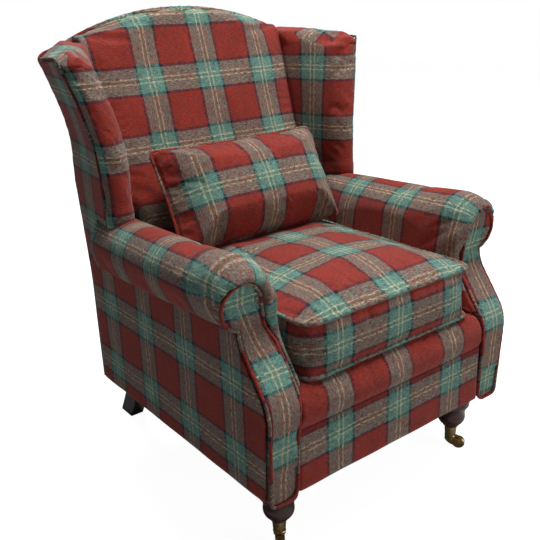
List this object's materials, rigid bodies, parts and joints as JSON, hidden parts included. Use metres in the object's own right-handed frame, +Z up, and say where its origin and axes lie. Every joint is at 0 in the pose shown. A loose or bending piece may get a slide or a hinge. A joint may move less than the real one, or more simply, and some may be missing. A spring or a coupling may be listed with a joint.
{
  "type": "wing armchair",
  "caption": "Fireside wing chair in wool tartan: arched back, rolled arms with scroll facings, boxed seat cushion, scatter cushion, turned front legs on brass castors.",
  "frame": {"origin": "on the floor, under the middle of the chair's bounding box", "axes": "+Z up, -Y is the chair's front, +X to the viewer's right when facing the chair; the chair is symmetric about X=0"},
  "size_m": [0.859, 0.8173, 1.081],
  "materials": {
    "tartan_wool": "matte woven wool tartan in red, teal, navy and cream",
    "tartan_piping": "matte, cut on the bias from the same cloth",
    "frame_hardwood": "sawn and unfinished",
    "mahogany_polish": "dark french polish, satin",
    "dark_stained_leg": "near-black stain, satin",
    "castor_brass": "polished",
    "fixing_steel": "bright zinc",
    "spring_steel": "oiled wire",
    "jute_webbing": "coarse jute weave",
    "bottoming_cloth": "thin black non-woven cloth",
    "cushion_filling": "pale foam and fibre",
    "deck_hessian": "stuffed platform under plain cloth"
  },
  "bodies": {
    "chair": {"arm_facing_left": "tartan_wool", "arm_facing_right": "tartan_wool", "arm_pad_left": "tartan_wool", "arm_pad_right": "tartan_wool", "arm_post_left": "frame_hardwood", "arm_post_right": "frame_hardwood", "arm_rail_left": "frame_hardwood", "arm_rail_right": "frame_hardwood", "arm_tack_rail_left": "frame_hardwood", "arm_tack_rail_right": "frame_hardwood", "back_post_left": "frame_hardwood", "back_post_right": "frame_hardwood", "back_tack_rail": "frame_hardwood", "back_top_rail": "frame_hardwood", "back_webbing": "jute_webbing", "castor_cup_left": "castor_brass", "castor_cup_right": "castor_brass", "corner_blocks": "frame_hardwood", "cup_screws": "castor_brass", "dust_cover": "bottoming_cloth", "facing_piping_left": "tartan_piping", "facing_piping_right": "tartan_piping", "front_leg_left": "mahogany_polish", "front_leg_right": "mahogany_polish", "front_lip": "tartan_wool", "front_panel": "tartan_wool", "front_seat_rail": "frame_hardwood", "inside_back": "tartan_wool", "leg_bolts": "fixing_steel", "outside_arm_left": "tartan_wool", "outside_arm_right": "tartan_wool", "outside_back": "tartan_wool", "outside_wing_left": "tartan_wool", "outside_wing_right": "tartan_wool", "rear_leg_left": "dark_stained_leg", "rear_leg_right": "dark_stained_leg", "rear_leg_screws": "fixing_steel", "rear_seat_rail": "frame_hardwood", "seat_deck": "deck_hessian", "seat_springs": "spring_steel", "side_rail_left": "frame_hardwood", "side_rail_right": "frame_hardwood", "spring_clips": "spring_steel", "wing_frame_left": "frame_hardwood", "wing_frame_right": "frame_hardwood", "wing_pad_left": "tartan_wool", "wing_pad_right": "tartan_wool"},
    "loose_seat_cushion": {"seat_cushion_core": "cushion_filling", "seat_cushion_cover": "tartan_wool", "seat_cushion_piping": "tartan_piping"},
    "loose_scatter_cushion": {"scatter_cushion_cover": "tartan_wool", "scatter_cushion_filling": "cushion_filling", "scatter_cushion_piping": "tartan_piping"},
    "right_castor_horn": {"castor_axle_right": "castor_brass", "castor_fork_right": "castor_brass"},
    "left_castor_horn": {"castor_axle_left": "castor_brass", "castor_fork_left": "castor_brass"},
    "right_castor_roller": {"castor_wheel_right": "castor_brass"},
    "left_castor_roller": {"castor_wheel_left": "castor_brass"}
  },
  "joints": [
    {"name": "seat_cushion_lift", "type": "slide", "parent": "chair", "child": "loose_seat_cushion", "axis": [0, -0.5, 0.866], "range_m": [0, 0.35]},
    {"name": "scatter_cushion_lift", "type": "slide", "parent": "loose_seat_cushion", "child": "loose_scatter_cushion", "axis": [0, -0.7071, 0.7071], "range_m": [0, 0.4]},
    {"name": "right_castor_swivel", "type": "hinge", "parent": "chair", "child": "right_castor_horn", "pos_m": [0.278, -0.327, 0.0314], "axis": [0, 0, 1], "continuous": true},
    {"name": "left_castor_swivel", "type": "hinge", "parent": "chair", "child": "left_castor_horn", "pos_m": [-0.278, -0.327, 0.0314], "axis": [0, 0, 1], "continuous": true},
    {"name": "right_castor_roll", "type": "hinge", "parent": "right_castor_horn", "child": "right_castor_roller", "pos_m": [0.29004, -0.3442, 0.0155], "axis": [0.8192, 0.5736, 0], "continuous": true},
    {"name": "left_castor_roll", "type": "hinge", "parent": "left_castor_horn", "child": "left_castor_roller", "pos_m": [-0.29004, -0.3442, 0.0155], "axis": [0.8192, -0.5736, 0], "continuous": true}
  ]
}
